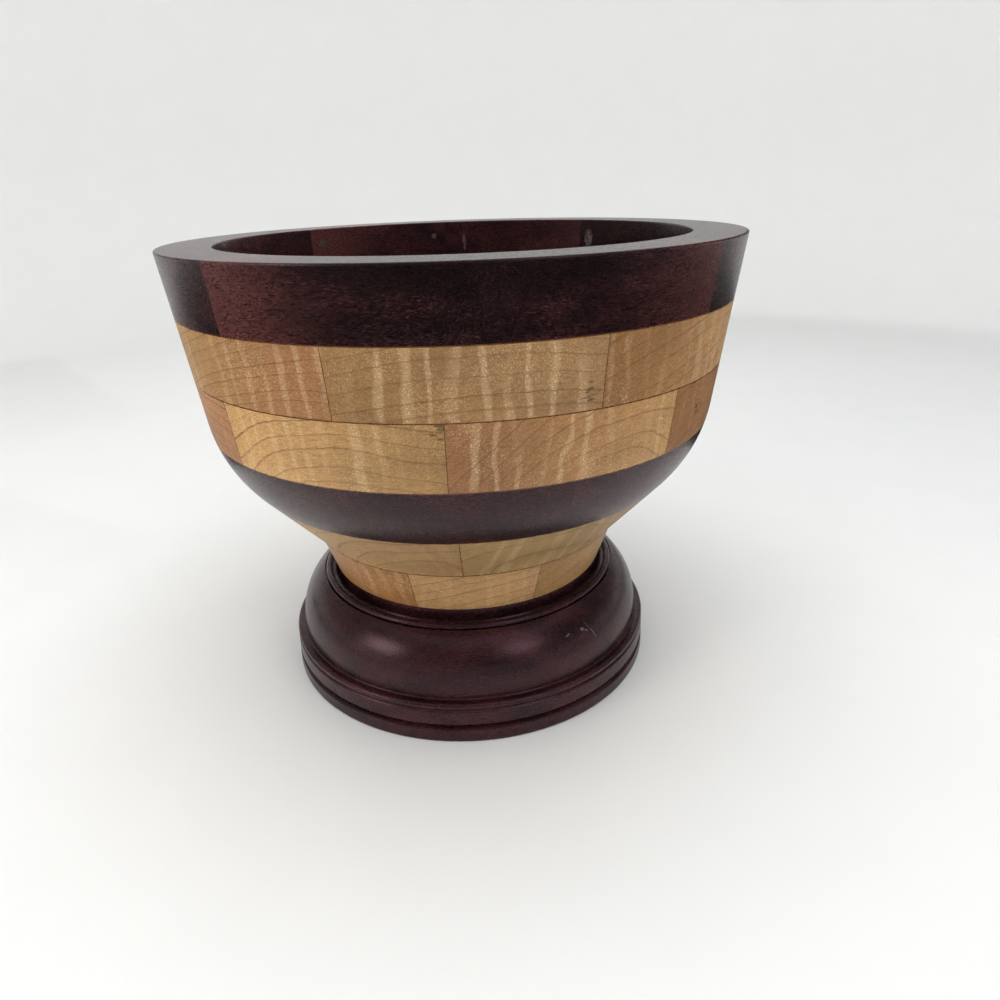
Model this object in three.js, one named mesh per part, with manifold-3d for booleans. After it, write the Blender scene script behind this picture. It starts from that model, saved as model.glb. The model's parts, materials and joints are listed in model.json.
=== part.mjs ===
// Segmented wooden pedestal bowl, in millimetres, +Z up, origin at the centre of the foot's underside.
// Six courses of eight mitred boards are glued into rings, stacked with their joints staggered and
// turned to one wall. The bowl's foot is seated on a pedestal turned from two solid boards.
// The bowl faces -Y, and joints are measured round from there, towards +X.
import * as THREE from 'three';
import { mergeVertices } from 'three/addons/utils/BufferGeometryUtils.js';
import Module from 'manifold-3d';

// Timber sizes
const BOARD = 19;              // thickness of each of the six courses, a three-quarter inch board
const SEGMENTS = 8;            // mitred boards in a course
const GLUE_LINE = 0.3;         // space between two neighbouring segments, and round each seated piece

// Outside of the bowl: a flared side, a rounded shoulder, an undercut and a short foot
const RIM_RADIUS = 91;
const RIM_FLARE = 10.7;        // how far the rim spreads beyond the shoulder's corner
const SHOULDER_DROP = 7.6;     // shoulder's corner, before rounding, below the top of the dark band
const SHOULDER_ROUND = 42;
const FOOT_RADIUS = 46.9;
const FOOT_FLARE = 5.5;        // how far the foot spreads up to the waist, at the lowest course's top
const WAIST_ROUND = 12;

// Inside of the bowl
const LIP_WIDTH = 16;          // flat top of the rim
const WALL = 11;               // thickness through the shoulder and the undercut side
const FLOOR_THICKNESS = 13;    // from the pedestal's seat up to the inside of the bowl
const FLOOR_ROUND = 20;        // sweep from the side into the floor
const FLOOR_DISC_RADIUS = 24;

// Round tenon under the foot, and the pedestal's recess that takes it
const TENON_SHOULDER = 8.9;    // width of the foot that rests on the pedestal round the tenon
const TENON_HEIGHT = 4.6;

// Upper board of the pedestal: a short neck under the bowl, a hollow, a small bead, then a rounded dome
const DOME_BOARD = 22.4;
const NECK_SETBACK = 0.5;      // how far the neck stands in from the bowl's foot
const NECK_HEIGHT = 5.2;       // from the seat down to the bottom of the hollow
const HOLLOW_ROUND = 1.7;
const BEAD_ROUND = 1.1;
const QUIRK_WIDTH = 0.6;       // narrow sunk line between the bead and the dome
const QUIRK_DEPTH = 0.8;
const DOME_SPREAD = 12.6;      // how far the dome swells beyond the bowl's foot
const DOME_BASE = 2.7;         // height of its widest part above the plate
const DOME_HOLLOW = 0.5;       // small hollow that spreads the dome's base onto the plate

// Lower board of the pedestal: a plate with a beaded top edge and a vee groove
const PLATE_BOARD = 12.8;
const PLATE_STEP = 2.7;        // how far the plate stands out beyond the dome
const PLATE_BEAD = 1;
const PLATE_QUIRK = 0.7;       // depth of the narrow sunk line under the plate's bead
const GROOVE_HEIGHT = 5;
const GROOVE_WIDTH = 2.2;
const GROOVE_DEPTH = 2.6;
const PLATE_ARRIS = 0.5;
const STANDING_RING = 12;      // width of the flat ring that the bowl stands on
const UNDERSIDE_HOLLOW = 1.2;

// Courses from the rim down: the azimuth of one glue joint of each, in degrees
const COURSES = [
  { name: 'rim_segment', timber: 'purpleheart', joint: 3 },
  { name: 'upper_maple_segment', timber: 'maple', joint: 23.5 },
  { name: 'middle_maple_segment', timber: 'maple', joint: -3 },
  { name: 'dark_band_segment', timber: 'purpleheart', joint: 20 },
  { name: 'lower_maple_segment', timber: 'maple', joint: -2 },
  { name: 'foot_maple_segment', timber: 'maple', joint: 24.5 },
];

const TIMBERS = {
  maple: { color: 0xc99b62, roughness: 0.38, metalness: 0 },
  purpleheart: { color: 0x3b2226, roughness: 0.34, metalness: 0 },
};

// Facets of a turned surface, and how far a facet may lie inside the true arc of a profile
const FACETS_PER_SEGMENT = 9;
const FACETS = SEGMENTS * FACETS_PER_SEGMENT;
const ARC_ERROR = 0.1;

// Heights that follow from the boards
const SEAT_HEIGHT = PLATE_BOARD + DOME_BOARD;
const COURSES_BOTTOM = SEAT_HEIGHT - TENON_HEIGHT;
const RIM_HEIGHT = COURSES_BOTTOM + COURSES.length * BOARD;
const COURSES_OVER_BAND = COURSES.findIndex((course) => course.name === 'dark_band_segment');
const SHOULDER_HEIGHT = RIM_HEIGHT - COURSES_OVER_BAND * BOARD - SHOULDER_DROP;
const FLOOR_HEIGHT = SEAT_HEIGHT + FLOOR_THICKNESS;

// Radii that follow from the foot
const TENON_RADIUS = FOOT_RADIUS - TENON_SHOULDER;
const DOME_RADIUS = FOOT_RADIUS + DOME_SPREAD;
const PLATE_RADIUS = DOME_RADIUS + PLATE_STEP;

const wasm = await Module();
wasm.setup();

// Draws a line towards a corner, rounds the corner and leaves the path where the arc meets the next line.
// A round that is too large for either of its lines is limited by the shorter one.
function roundCorner(path, corner, next, radius) {
  const back = path.currentPoint.clone().sub(corner);
  const ahead = next.clone().sub(corner);
  const shorter = Math.min(back.length(), ahead.length());
  back.normalize();
  ahead.normalize();
  const half = Math.acos(THREE.MathUtils.clamp(back.dot(ahead), -1, 1)) / 2;
  const fitted = Math.min(radius, shorter * Math.tan(half));
  const centre = back.clone().add(ahead).normalize().multiplyScalar(fitted / Math.sin(half)).add(corner);
  const start = back.clone().multiplyScalar(fitted / Math.tan(half)).add(corner).sub(centre);
  const end = ahead.clone().multiplyScalar(fitted / Math.tan(half)).add(corner).sub(centre);
  const clockwise = back.cross(ahead) > 0;
  path.absarc(centre.x, centre.y, fitted, start.angle(), end.angle(), clockwise);
}

// Number of equal steps that keeps an arc's chords within the allowed error
function arcSteps(arc) {
  const sweep = arc.getLength() / arc.xRadius;
  return Math.ceil(sweep / (2 * Math.acos(1 - ARC_ERROR / arc.xRadius)));
}

// Points of a drawn profile: both ends of each line, and arcs in even steps
function profilePoints(path) {
  const points = [path.getPoint(0)];
  for (const curve of path.curves) {
    const steps = curve.isEllipseCurve ? arcSteps(curve) : 1;
    for (let i = 1; i <= steps; i++) {
      const point = curve.getPoint(i / steps);
      if (point.distanceTo(points[points.length - 1]) > 1e-6) {
        points.push(point);
      }
    }
  }
  return points;
}

// A turned solid from radius and height points that run round it anticlockwise, with its axis along Z.
// The facets are placed so that a joint between segments falls in the middle of one.
function turned(points) {
  const geometry = new THREE.LatheGeometry(points, FACETS, (FACETS_PER_SEGMENT + 1) * Math.PI / FACETS);
  geometry.rotateX(Math.PI / 2);
  return geometry;
}

function toSolid(geometry) {
  const bare = geometry.clone();
  bare.deleteAttribute('normal');
  bare.deleteAttribute('uv');
  const merged = mergeVertices(bare);
  const vertProperties = new Float32Array(merged.attributes.position.array);
  const triVerts = new Uint32Array(merged.index.array);
  return new wasm.Manifold(new wasm.Mesh({ numProp: 3, vertProperties, triVerts }));
}

function toGeometry(solid) {
  const mesh = solid.getMesh();
  const geometry = new THREE.BufferGeometry();
  geometry.setAttribute('position', new THREE.BufferAttribute(mesh.vertProperties, 3));
  geometry.setIndex(new THREE.BufferAttribute(mesh.triVerts, 1));
  geometry.computeVertexNormals();
  return geometry;
}

// Moves a corner between two sides inwards, so that both sides keep the same thickness
function insetCorner(before, corner, after, thickness) {
  const first = corner.clone().sub(before).normalize();
  const second = after.clone().sub(corner).normalize();
  const inwards = new THREE.Vector2(first.y + second.y, -first.x - second.x);
  return inwards.multiplyScalar(thickness / (1 + first.dot(second))).add(corner);
}

// Section of the whole glued-up bowl: outside from rim to foot, tenon, bore, floor and inside
function bowlSection() {
  const rim = new THREE.Vector2(RIM_RADIUS, RIM_HEIGHT);
  const lip = new THREE.Vector2(RIM_RADIUS - LIP_WIDTH, RIM_HEIGHT);
  const shoulder = new THREE.Vector2(RIM_RADIUS - RIM_FLARE, SHOULDER_HEIGHT);
  const waist = new THREE.Vector2(FOOT_RADIUS + FOOT_FLARE, COURSES_BOTTOM + BOARD);
  const foot = new THREE.Vector2(FOOT_RADIUS, SEAT_HEIGHT);
  const innerShoulder = insetCorner(rim, shoulder, waist, WALL);
  const undercut = (shoulder.x - waist.x) / (shoulder.y - waist.y);
  const floorEdge = new THREE.Vector2(innerShoulder.x, FLOOR_HEIGHT);
  floorEdge.x -= undercut * (innerShoulder.y - FLOOR_HEIGHT);
  const bore = new THREE.Vector2(FLOOR_DISC_RADIUS + GLUE_LINE, FLOOR_HEIGHT);

  const path = new THREE.Path();
  path.moveTo(rim.x, rim.y);
  path.lineTo(lip.x, lip.y);
  roundCorner(path, innerShoulder, floorEdge, SHOULDER_ROUND - WALL);
  roundCorner(path, floorEdge, bore, FLOOR_ROUND);
  path.lineTo(bore.x, bore.y);
  path.lineTo(bore.x, COURSES_BOTTOM);
  path.lineTo(TENON_RADIUS, COURSES_BOTTOM);
  path.lineTo(TENON_RADIUS, SEAT_HEIGHT);
  path.lineTo(foot.x, foot.y);
  roundCorner(path, waist, shoulder, WAIST_ROUND);
  roundCorner(path, shoulder, rim, SHOULDER_ROUND);
  path.lineTo(rim.x, rim.y);
  return profilePoints(path);
}

// One board of a course, mitred at both ends and standing on Z = 0, with its middle towards -Y
function mitredBoard() {
  const mitre = Math.PI / SEGMENTS;
  const short = GLUE_LINE / 2 / Math.cos(mitre);
  const innerEdge = FLOOR_DISC_RADIUS / 2;
  const outerEdge = RIM_RADIUS + BOARD;
  const outline = new THREE.Shape();
  outline.moveTo(innerEdge * Math.tan(mitre) - short, -innerEdge);
  outline.lineTo(short - innerEdge * Math.tan(mitre), -innerEdge);
  outline.lineTo(short - outerEdge * Math.tan(mitre), -outerEdge);
  outline.lineTo(outerEdge * Math.tan(mitre) - short, -outerEdge);
  outline.closePath();
  return new THREE.ExtrudeGeometry(outline, { depth: BOARD, bevelEnabled: false });
}

// A segment as it is after turning: the board's share of the bowl's wall, standing on Z = 0
function turnedSegment(section, courseBottom) {
  const wall = turned(section.map((point) => new THREE.Vector2(point.x, point.y - courseBottom)));
  return toGeometry(toSolid(wall).intersect(toSolid(mitredBoard())));
}

// Disc that closes the middle of the lowest course and is the bowl's floor
function floorDisc() {
  return turned([
    new THREE.Vector2(0, 0),
    new THREE.Vector2(FLOOR_DISC_RADIUS, 0),
    new THREE.Vector2(FLOOR_DISC_RADIUS, FLOOR_HEIGHT - COURSES_BOTTOM),
    new THREE.Vector2(0, FLOOR_HEIGHT - COURSES_BOTTOM),
  ]);
}

// Upper board of the pedestal, standing on Z = 0
function pedestalDome() {
  const recess = TENON_RADIUS + GLUE_LINE;
  const neck = FOOT_RADIUS - NECK_SETBACK;
  const hollowEdge = neck + HOLLOW_ROUND;
  const hollowFloor = DOME_BOARD - NECK_HEIGHT;
  const beadCentre = FOOT_RADIUS + HOLLOW_ROUND + BEAD_ROUND;
  const domeEdge = beadCentre + BEAD_ROUND + QUIRK_WIDTH;
  const rise = hollowFloor + QUIRK_DEPTH - DOME_BASE;
  const run = DOME_RADIUS - domeEdge;
  const domeRound = (rise * rise + run * run) / (2 * run);

  const path = new THREE.Path();
  path.moveTo(0, 0);
  path.lineTo(DOME_RADIUS + DOME_HOLLOW, 0);
  path.absarc(DOME_RADIUS + DOME_HOLLOW, DOME_HOLLOW, DOME_HOLLOW, -Math.PI / 2, Math.PI, true);
  path.lineTo(DOME_RADIUS, DOME_BASE);
  path.absarc(DOME_RADIUS - domeRound, DOME_BASE, domeRound, 0, Math.atan2(rise, domeRound - run), false);
  path.lineTo(domeEdge, hollowFloor);
  path.absarc(beadCentre, hollowFloor + BEAD_ROUND, BEAD_ROUND, -Math.PI / 2, 5 * Math.PI / 4, false);
  path.lineTo(hollowEdge, hollowFloor);
  path.absarc(hollowEdge, hollowFloor + HOLLOW_ROUND, HOLLOW_ROUND, -Math.PI / 2, Math.PI, true);
  path.lineTo(neck, DOME_BOARD);
  path.lineTo(recess, DOME_BOARD);
  path.lineTo(recess, DOME_BOARD - TENON_HEIGHT);
  path.lineTo(0, DOME_BOARD - TENON_HEIGHT);
  return turned(profilePoints(path));
}

// Lower board of the pedestal, with its moulded edge and a hollowed underside
function pedestalPlate() {
  const beadMiddle = PLATE_BOARD - PLATE_BEAD;
  const quirkHeight = beadMiddle - PLATE_BEAD;

  const path = new THREE.Path();
  path.moveTo(0, UNDERSIDE_HOLLOW);
  path.lineTo(PLATE_RADIUS - STANDING_RING - UNDERSIDE_HOLLOW, UNDERSIDE_HOLLOW);
  path.lineTo(PLATE_RADIUS - STANDING_RING, 0);
  path.lineTo(PLATE_RADIUS - PLATE_ARRIS, 0);
  path.lineTo(PLATE_RADIUS, PLATE_ARRIS);
  path.lineTo(PLATE_RADIUS, GROOVE_HEIGHT - GROOVE_WIDTH / 2);
  path.lineTo(PLATE_RADIUS - GROOVE_DEPTH, GROOVE_HEIGHT);
  path.lineTo(PLATE_RADIUS, GROOVE_HEIGHT + GROOVE_WIDTH / 2);
  path.lineTo(PLATE_RADIUS, quirkHeight - PLATE_QUIRK);
  path.lineTo(PLATE_RADIUS - PLATE_QUIRK, quirkHeight);
  path.absarc(PLATE_RADIUS - PLATE_BEAD, beadMiddle, PLATE_BEAD, -Math.PI / 4, Math.PI / 2, false);
  path.lineTo(0, PLATE_BOARD);
  return turned(profilePoints(path));
}

function piece(name, geometry, timber) {
  const mesh = new THREE.Mesh(geometry, new THREE.MeshStandardMaterial(TIMBERS[timber]));
  mesh.name = name;
  return mesh;
}

const bowl = new THREE.Group();

const section = bowlSection();
COURSES.forEach((course, row) => {
  const ring = new THREE.Group();
  ring.position.z = RIM_HEIGHT - (row + 1) * BOARD;
  ring.rotation.z = THREE.MathUtils.degToRad(course.joint);
  const geometry = turnedSegment(section, ring.position.z);
  for (let i = 0; i < SEGMENTS; i++) {
    const segment = piece(`${course.name}_${i + 1}`, geometry, course.timber);
    segment.rotation.z = (i + 0.5) * 2 * Math.PI / SEGMENTS;
    ring.add(segment);
  }
  bowl.add(ring);
});

const disc = piece('bowl_floor_disc', floorDisc(), 'purpleheart');
disc.position.z = COURSES_BOTTOM;
bowl.add(disc);

const dome = piece('pedestal_dome', pedestalDome(), 'purpleheart');
dome.position.z = PLATE_BOARD;
bowl.add(dome);

bowl.add(piece('pedestal_plate', pedestalPlate(), 'purpleheart'));

export default bowl;
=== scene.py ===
"""A segmented wooden bowl on a turned pedestal, dressed from the plate it stands on up to its rim."""
import json
import math
import random

import bmesh
import bpy
from mathutils import Matrix, Vector

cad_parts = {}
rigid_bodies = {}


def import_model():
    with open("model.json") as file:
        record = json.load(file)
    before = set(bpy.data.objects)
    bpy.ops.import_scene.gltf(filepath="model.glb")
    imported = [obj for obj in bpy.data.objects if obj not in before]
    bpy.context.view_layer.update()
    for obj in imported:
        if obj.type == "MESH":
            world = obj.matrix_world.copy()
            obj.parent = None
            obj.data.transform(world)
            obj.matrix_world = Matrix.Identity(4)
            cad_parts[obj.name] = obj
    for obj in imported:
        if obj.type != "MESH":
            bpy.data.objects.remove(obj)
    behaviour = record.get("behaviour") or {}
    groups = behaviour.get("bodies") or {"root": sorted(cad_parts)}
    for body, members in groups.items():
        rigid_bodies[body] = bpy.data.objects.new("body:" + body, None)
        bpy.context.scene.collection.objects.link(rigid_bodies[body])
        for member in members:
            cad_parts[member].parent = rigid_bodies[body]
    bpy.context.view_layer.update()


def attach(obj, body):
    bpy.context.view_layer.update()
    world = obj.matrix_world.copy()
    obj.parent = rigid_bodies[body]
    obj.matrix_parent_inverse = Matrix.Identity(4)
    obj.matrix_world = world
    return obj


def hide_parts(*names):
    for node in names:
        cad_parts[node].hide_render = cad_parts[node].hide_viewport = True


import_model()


# Pedestal plate
# The lower board of the pedestal, one solid piece of dark purplish-brown hardwood.
# It is turned with a beaded top edge and a vee groove, and hollowed underneath so that it stands on a ring.
MM = 0.001
PLATE_RADIUS = 62.2
PLATE_HEIGHT = 12.8
PLATE_BEAD = 1.0
PLATE_QUIRK = 0.7
GROOVE_HEIGHT = 5.0
GROOVE_WIDTH = 2.2
GROOVE_DEPTH = 2.6
GROOVE_LIP_ROUND = 0.2
GROOVE_BOTTOM_ROUND = 0.1
QUIRK_LIP_ROUND = 0.3
QUIRK_BOTTOM_ROUND = 0.05
PLATE_ARRIS = 0.7
STANDING_RING = 12.0
RING_ROUND = 0.4
UNDERSIDE_HOLLOW = 1.2
HOLLOW_CORNER_ROUND = 0.6
CHORD_ERROR = 0.006            # how far a chord may lie inside its arc, in millimetres
MERGE_DISTANCE = 0.002         # points nearer than this are one point
WHOLE_TURN_STEPS = 240
SHARP_EDGE = math.radians(32)
LONG_STRAIGHT = 2.5            # longer than any chord of an arc
STEADY = 0.25                  # how far from its ends the flat's two added points lie
BOARD_BLEND = 34.0             # how far from its middle a board reaches the tint of its end
SOFT_STEP = {"interpolation_type": "SMOOTHSTEP"}
LAID_OVER = {"data_type": "RGBA"}
TONED = {"data_type": "RGBA", "blend_type": "MULTIPLY"}


def linear(hex_colour):
    """An sRGB colour such as 0x3b2226 as linear red, green, blue and alpha."""
    channels = [(hex_colour >> shift & 255) / 255 for shift in (16, 8, 0)]
    return [c / 12.92 if c <= 0.04045 else ((c + 0.055) / 1.055) ** 2.4 for c in channels] + [1.0]


def add(tree, kind, inputs=None, **settings):
    """Adds a node. An input is a value, a socket, or a node whose first output feeds it."""
    node = tree.nodes.new(kind)
    for key, value in settings.items():
        setattr(node, key, value)
    for key, value in (inputs or {}).items():
        source = value.outputs[0] if isinstance(value, bpy.types.Node) else value
        if isinstance(source, bpy.types.NodeSocket):
            tree.links.new(source, node.inputs[key])
        else:
            node.inputs[key].default_value = source
    return node


def placed(name, data):
    """A new object in the scene, with its mesh, curve, lamp or camera."""
    thing = bpy.data.objects.new(name, data)
    bpy.context.scene.collection.objects.link(thing)
    return thing


def finish_mesh(shaper, mesh):
    """Turns all faces outwards and writes them to the mesh."""
    bmesh.ops.recalc_face_normals(shaper, faces=shaper.faces)
    shaper.to_mesh(mesh)
    shaper.free()


def new_material(name):
    """A material with an empty node tree, and that tree."""
    material = bpy.data.materials.new(name)
    material.use_nodes = True
    material.node_tree.nodes.clear()
    return material, material.node_tree


def arc(centre, radius, start, end):
    """Points along an arc of a drawn section, in degrees, both ends included."""
    sweep = math.radians(abs(end - start))
    steps = max(2, math.ceil(sweep / (2 * math.acos(1 - min(1, CHORD_ERROR / radius)))))
    angles = [math.radians(start + (end - start) * i / steps) for i in range(steps + 1)]
    return [Vector((centre[0] + radius * math.cos(a), centre[1] + radius * math.sin(a))) for a in angles]


def rounded(corners):
    """A closed section from its corners (radius, height, rounding), each corner rounded by an arc."""
    points = []
    for i, (x, y, rounding) in enumerate(corners):
        corner = Vector((x, y))
        back = (Vector(corners[i - 1][:2]) - corner).normalized()
        ahead = (Vector(corners[(i + 1) % len(corners)][:2]) - corner).normalized()
        if rounding == 0:
            points.append(corner)
            continue
        half = back.angle(ahead) / 2
        centre = corner + (back + ahead).normalized() * rounding / math.sin(half)
        first = corner + back * rounding / math.tan(half) - centre
        turn = math.degrees((corner + ahead * rounding / math.tan(half) - centre).angle_signed(first))
        start = math.degrees(math.atan2(first.y, first.x))
        points += arc(centre, rounding, start, start + turn)
    return points


def section_tree(name, sockets):
    """Geometry nodes that work on a drawn section: the tree, its named inputs and the section's curve."""
    tree = bpy.data.node_groups.new(name, "GeometryNodeTree")
    for socket, kind in (("Section", "Object"), *sockets):
        tree.interface.new_socket(socket, in_out="INPUT", socket_type=f"NodeSocket{kind}")
    tree.interface.new_socket("Geometry", in_out="OUTPUT", socket_type="NodeSocketGeometry")
    given = add(tree, "NodeGroupInput").outputs
    drawn = add(tree, "GeometryNodeObjectInfo", {"Object": given["Section"]}).outputs["Geometry"]
    return tree, given, drawn


def lathe_tree():
    """Geometry nodes that turn a section round Z: a whole turn, or one mitred board's share of it."""
    tree, given, drawn = section_tree("turn_on_lathe", (
        ("Whole Turn", "Bool"), ("Boards", "Int"), ("Number", "Int"), ("Joint", "Float"),
        ("Glue Line", "Float"), ("Steps", "Int"), ("Pith", "Vector"), ("Grain Slope", "Float"),
        ("Grain Start", "Float"), ("Ring Spacing", "Float"), ("Tint", "Color"), ("Far Tint", "Color"),
        ("Figure", "Float"), ("Marks And Dark Reflection", "Vector"), ("Timber", "Material"),
    ))
    count = add(
        tree, "GeometryNodeAttributeDomainSize", {0: drawn}, component="CURVE"
    ).outputs["Point Count"]

    # A grid with a column of the section's points at each step round the axis
    column = add(tree, "ShaderNodeMath", {0: count, 1: 1.0}, operation="ADD")
    columns = add(tree, "ShaderNodeMath", {0: given["Steps"], 1: 1.0}, operation="ADD")
    grid = add(tree, "GeometryNodeMeshGrid", {"Vertices X": columns, "Vertices Y": column})
    index = add(tree, "GeometryNodeInputIndex")
    row = add(tree, "ShaderNodeMath", {0: index, 1: column}, operation="MODULO")
    point = add(tree, "ShaderNodeMath", {0: row, 1: count}, operation="MODULO")
    step = add(tree, "ShaderNodeMath", {0: index, 1: column}, operation="DIVIDE")
    step = add(tree, "ShaderNodeMath", {0: step}, operation="FLOOR")
    share = add(tree, "ShaderNodeMath", {0: step, 1: given["Steps"]}, operation="DIVIDE")
    place = add(tree, "GeometryNodeInputPosition")
    sample = add(tree, "GeometryNodeSampleIndex", {0: drawn, 1: place, 2: point}, data_type="FLOAT_VECTOR")
    flat = add(tree, "GeometryNodeSetPosition", {0: grid, "Position": sample})
    flat = add(tree, "GeometryNodeCaptureAttribute", {0: flat})
    flat.capture_items.new("FLOAT", "Share")
    tree.links.new(share.outputs[0], flat.inputs["Share"])

    # The same section filled at both mitres, at shares 0 and 1
    cut = add(tree, "GeometryNodeFillCurve", {0: drawn}, mode="NGONS")
    near = add(tree, "GeometryNodeCaptureAttribute", {0: cut})
    far = add(tree, "GeometryNodeCaptureAttribute", {0: cut})
    for mitre_face, end in ((near, 0.0), (far, 1.0)):
        mitre_face.capture_items.new("FLOAT", "Share")
        mitre_face.inputs["Share"].default_value = end

    # Each part of the body is bent round the axis, with its middle towards -Y
    radius, height = add(tree, "ShaderNodeSeparateXYZ", {0: place}).outputs[:2]
    mitre = add(tree, "ShaderNodeMath", {0: math.pi, 1: given["Boards"]}, operation="DIVIDE")
    clearance = add(tree, "ShaderNodeMath", {0: given["Glue Line"], 1: radius}, operation="DIVIDE")
    clearance = add(tree, "ShaderNodeMath", {0: clearance, 1: 0.5}, operation="MULTIPLY")
    reach = add(tree, "ShaderNodeMath", {0: mitre, 1: clearance}, operation="SUBTRACT")
    reach = add(
        tree, "GeometryNodeSwitch", {0: given["Whole Turn"], 1: reach, 2: math.pi}, input_type="FLOAT"
    )
    bent = []
    for part in (flat, near, far):
        angle = add(
            tree, "ShaderNodeMath", {0: part.outputs["Share"], 1: 2.0, 2: -1.0}, operation="MULTIPLY_ADD"
        )
        angle = add(tree, "ShaderNodeMath", {0: angle, 1: reach}, operation="MULTIPLY")
        sine = add(tree, "ShaderNodeMath", {0: angle}, operation="SINE")
        cosine = add(tree, "ShaderNodeMath", {0: angle}, operation="COSINE")
        across = add(tree, "ShaderNodeMath", {0: sine, 1: radius}, operation="MULTIPLY")
        depth = add(tree, "ShaderNodeMath", {0: cosine, 1: radius}, operation="MULTIPLY")
        depth = add(tree, "ShaderNodeMath", {0: depth, 1: -1.0}, operation="MULTIPLY")
        moved = add(tree, "ShaderNodeCombineXYZ", {0: across, 1: depth, 2: height})
        bent.append(add(tree, "GeometryNodeSetPosition", {0: part, "Position": moved}))
    board = add(tree, "GeometryNodeJoinGeometry")
    for part in bent:
        tree.links.new(part.outputs[0], board.inputs[0])
    body = add(
        tree, "GeometryNodeSwitch", {0: given["Whole Turn"], 1: board, 2: bent[0]}, input_type="GEOMETRY"
    )
    body = add(tree, "GeometryNodeMergeByDistance", {0: body, "Distance": MERGE_DISTANCE * MM})

    # Where each point lies in its own board: X along the grain, Y and Z across it from the pith
    grain = add(tree, "ShaderNodeVectorMath", {0: place, 1: given["Pith"]}, operation="SUBTRACT")
    grain = add(
        tree, "ShaderNodeVectorRotate", {"Vector": grain, "Angle": given["Grain Slope"]},
        rotation_type="Y_AXIS",
    )
    start = add(tree, "ShaderNodeCombineXYZ", {0: given["Grain Start"]})
    grain = add(tree, "ShaderNodeVectorMath", {0: grain, 1: start}, operation="ADD")
    along = add(tree, "ShaderNodeSeparateXYZ", {0: place}).outputs["X"]
    along = add(tree, "ShaderNodeMath", {0: along, 1: 1 / MM}, operation="MULTIPLY")
    end = add(tree, "ShaderNodeMapRange", {0: along, 1: -BOARD_BLEND, 2: BOARD_BLEND}, **SOFT_STEP)
    ends = {0: end, 6: given["Tint"], 7: given["Far Tint"]}
    tint = add(tree, "ShaderNodeMix", ends, **LAID_OVER).outputs[2]
    stored = (
        ("grain", "FLOAT_VECTOR", grain), ("along", "FLOAT", along), ("tint", "FLOAT_COLOR", tint),
        ("spacing", "FLOAT", given["Ring Spacing"]), ("figure", "FLOAT", given["Figure"]),
        ("stain", "FLOAT_VECTOR", given["Marks And Dark Reflection"]),
    )
    for name, kind, value in stored:
        body = add(
            tree, "GeometryNodeStoreNamedAttribute", {0: body, "Name": name, "Value": value}, data_type=kind
        )

    # The board goes to its place in the course, and only its arrises stay sharp
    turn = add(tree, "ShaderNodeMath", {0: given["Number"], 1: 0.5}, operation="ADD")
    turn = add(tree, "ShaderNodeMath", {0: turn, 1: mitre}, operation="MULTIPLY")
    turn = add(tree, "ShaderNodeMath", {0: turn, 1: 2.0, 2: given["Joint"]}, operation="MULTIPLY_ADD")
    turn = add(tree, "GeometryNodeSwitch", {0: given["Whole Turn"], 1: turn, 2: 0.0}, input_type="FLOAT")
    turn = add(tree, "ShaderNodeCombineXYZ", {2: turn})
    body = add(tree, "GeometryNodeTransform", {0: body, "Rotation": turn})
    body = add(tree, "GeometryNodeSetShadeSmooth", {0: body, "Shade Smooth": True}, domain="FACE")
    edge = add(tree, "GeometryNodeInputMeshEdgeAngle")
    sharp = add(tree, "FunctionNodeCompare", {0: edge, 1: SHARP_EDGE}, operation="GREATER_THAN")
    body = add(
        tree, "GeometryNodeSetShadeSmooth", {0: body, "Selection": sharp, "Shade Smooth": False},
        domain="EDGE",
    )
    body = add(tree, "GeometryNodeRealizeInstances", {0: body})
    body = add(tree, "GeometryNodeSetMaterial", {0: body, "Material": given["Timber"]})
    add(tree, "NodeGroupOutput", {0: body})
    return tree


def steadied(points):
    """A section with a point close to both ends of each long straight, so that the flat shades as flat."""
    kept = []
    for before, point in zip(points[-1:] + points, points):
        length = (point - before).length
        if length > LONG_STRAIGHT:
            kept.append(before.lerp(point, STEADY / length))
            kept.append(point.lerp(before, STEADY / length))
        kept.append(point)
    return kept


def drawn_curve(points):
    """A flat closed curve through the points of a section, given in millimetres."""
    curve = bpy.data.curves.new("section", "CURVE")
    line = curve.splines.new("POLY")
    line.points.add(len(points) - 1)
    for spot, point in zip(line.points, points):
        spot.co = (point.x * MM, point.y * MM, 0.0, 1.0)
    line.use_cyclic_u = True
    return placed("section", curve)


def made_by(tree, name, inputs):
    """A plain mesh object made by a geometry tree from its named inputs."""
    blank = placed("blank", bpy.data.meshes.new("blank"))
    modifier = blank.modifiers.new("shape", "NODES")
    modifier.node_group = tree
    for item in tree.interface.items_tree:
        if item.in_out == "INPUT":
            modifier[item.identifier] = inputs[item.name]
    bpy.context.view_layer.update()
    evaluated = blank.evaluated_get(bpy.context.evaluated_depsgraph_get())
    mesh = bpy.data.meshes.new_from_object(evaluated)
    bpy.data.objects.remove(blank)
    shaper = bmesh.new()
    shaper.from_mesh(mesh)
    finish_mesh(shaper, mesh)
    mesh.name = name
    return placed(name, mesh)


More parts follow.
